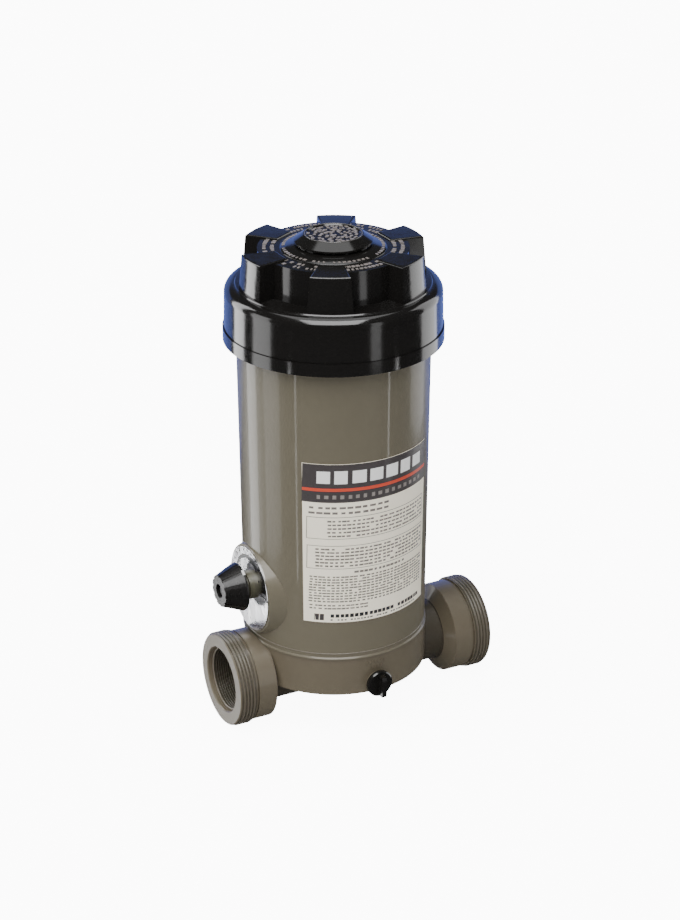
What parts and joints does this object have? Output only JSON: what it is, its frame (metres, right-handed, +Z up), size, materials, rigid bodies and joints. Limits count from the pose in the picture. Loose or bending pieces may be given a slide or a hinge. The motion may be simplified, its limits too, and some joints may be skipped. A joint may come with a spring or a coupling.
{
  "type": "inline pool chlorinator",
  "caption": "Upright tablet feeder for a pool return pipe: tapered vessel on a base with threaded ports, lugged screw cover, side dial valve and drain plug.",
  "frame": {"origin": "where the axis of the pipe ports crosses the axis of the vessel", "axes": "+X along the ports towards the long inlet port, +Z up the vessel, -Y towards the drain plug"},
  "size_m": [0.2607, 0.1979, 0.456],
  "materials": {
    "taupe_plastic": "glossy moulded plastic, warm taupe grey",
    "black_plastic": "glossy moulded plastic, black",
    "valve_plastic": "matt moulded plastic, olive grey",
    "inner_plastic": "matt moulded plastic, off-white",
    "dial_foil": "bright foil with a faint brushing",
    "seal_rubber": "black rubber",
    "screw_steel": "plain steel",
    "label_film": "printed film, cream with a dark header"
  },
  "bodies": {
    "vessel": {"tank": "taupe_plastic", "base": "taupe_plastic", "neck_collar": "black_plastic", "dial_plate": "dial_foil", "valve_locknut": "valve_plastic", "valve_gasket": "seal_rubber", "valve_body": "valve_plastic", "outlet_tube": "inner_plastic", "inlet_riser": "inner_plastic", "inlet_screen": "inner_plastic", "tablet_grate": "inner_plastic", "label_sticker": "label_film"},
    "lid_seal": {"cover_oring": "seal_rubber"},
    "lid": {"cover": "black_plastic", "cover_centre_cap": "black_plastic"},
    "dial": {"control_knob": "black_plastic", "knob_screw": "screw_steel", "valve_stem": "valve_plastic", "stem_oring_outer": "seal_rubber", "stem_oring_inner": "seal_rubber"},
    "drain_seal": {"drain_gasket": "seal_rubber"},
    "drain": {"drain_plug": "black_plastic"}
  },
  "joints": [
    {"name": "cover_lift", "type": "slide", "parent": "vessel", "child": "lid_seal", "axis": [0, 0, 1], "range_m": [0, 0.0321]},
    {"name": "cover_turn", "type": "hinge", "parent": "lid_seal", "child": "lid", "pos_m": [0, 0, 0.36], "axis": [0, 0, 1], "range_deg": [0, 1440]},
    {"name": "dial_turn", "type": "hinge", "parent": "vessel", "child": "dial", "pos_m": [-0.09, 0, 0.0912], "axis": [-1, 0, 0], "range_deg": [-150, 120]},
    {"name": "drain_slide", "type": "slide", "parent": "vessel", "child": "drain_seal", "axis": [0, -1, 0], "range_m": [0, 0.0121]},
    {"name": "drain_turn", "type": "hinge", "parent": "drain_seal", "child": "drain", "pos_m": [0, -0.0878, 0.011], "axis": [0, -1, 0], "range_deg": [0, 2160]}
  ],
  "couplings": [
    {"joint": "cover_lift", "follows": "cover_turn", "m_per_rad": 0.0012732},
    {"joint": "drain_slide", "follows": "drain_turn", "m_per_rad": 0.00031831}
  ]
}
